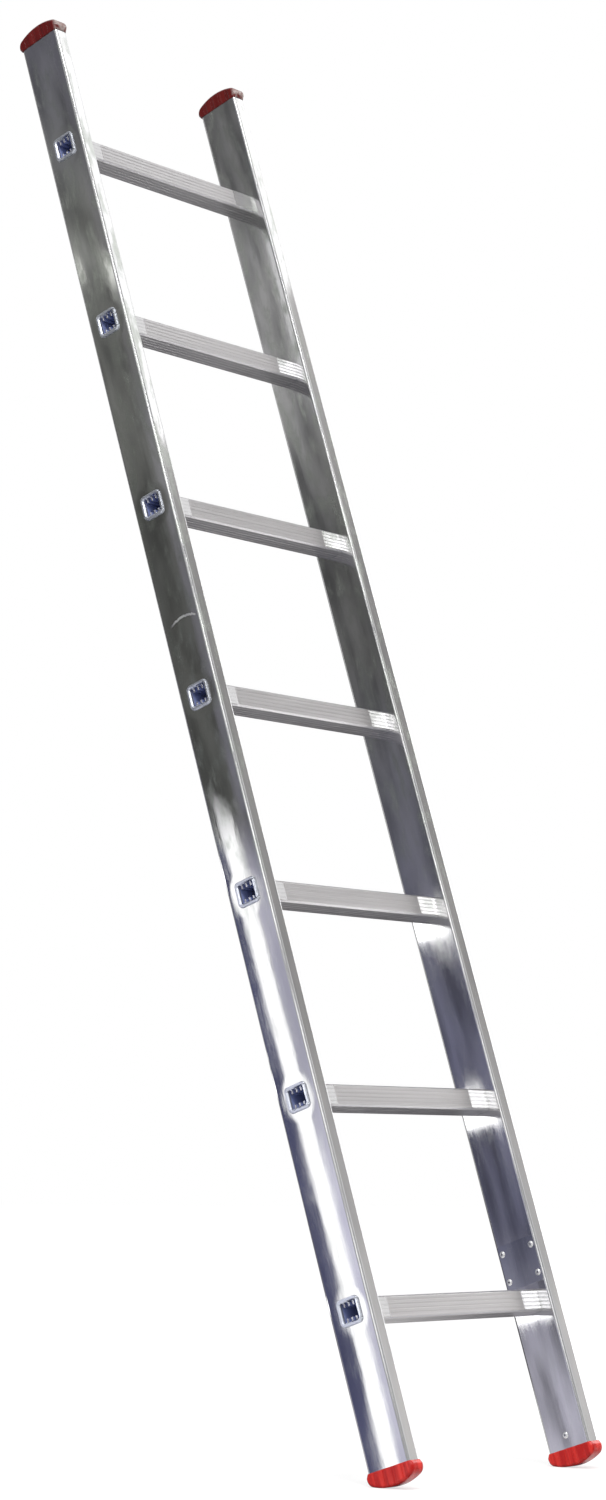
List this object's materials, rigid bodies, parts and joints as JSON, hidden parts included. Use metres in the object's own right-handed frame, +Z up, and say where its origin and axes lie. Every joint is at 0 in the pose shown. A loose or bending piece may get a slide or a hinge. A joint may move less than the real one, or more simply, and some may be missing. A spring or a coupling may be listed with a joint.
{
  "type": "leaning rung ladder",
  "caption": "Single-section aluminium ladder leaning back: two box-section stiles, swaged square ribbed rungs, red moulded end caps and feet, and a bare riveted plate.",
  "frame": {"origin": "on the floor under the middle of the leaning ladder's box", "axes": "+Z up, +X to the climber's right along the rungs, +Y to the wall that the top leans towards"},
  "size_m": [0.4152, 0.698, 2.008],
  "materials": {
    "stile_aluminium": "bright mill-finish extrusion with lengthwise die lines",
    "rung_aluminium": "satin extrusion with fine lengthwise grooves",
    "cap_red": "glossy injection-moulded red plastic with shallow flutes",
    "plate_aluminium": "thin bare satin sheet",
    "rivet_aluminium": "bright domed blind rivet",
    "mandrel_steel": "snapped steel mandrel"
  },
  "bodies": {
    "root": {"left_stile": "stile_aluminium", "right_stile": "stile_aluminium", "rung_1": "rung_aluminium", "rung_2": "rung_aluminium", "rung_3": "rung_aluminium", "rung_4": "rung_aluminium", "rung_5": "rung_aluminium", "rung_6": "rung_aluminium", "rung_7": "rung_aluminium", "left_foot": "cap_red", "left_top_cap": "cap_red", "left_foot_rivet": "rivet_aluminium", "left_foot_rivet_mandrel": "mandrel_steel", "right_foot": "cap_red", "right_top_cap": "cap_red", "right_foot_rivet": "rivet_aluminium", "right_foot_rivet_mandrel": "mandrel_steel", "blank_plate": "plate_aluminium", "plate_rivets": "rivet_aluminium", "plate_rivet_mandrels": "mandrel_steel"}
  },
  "joints": []
}
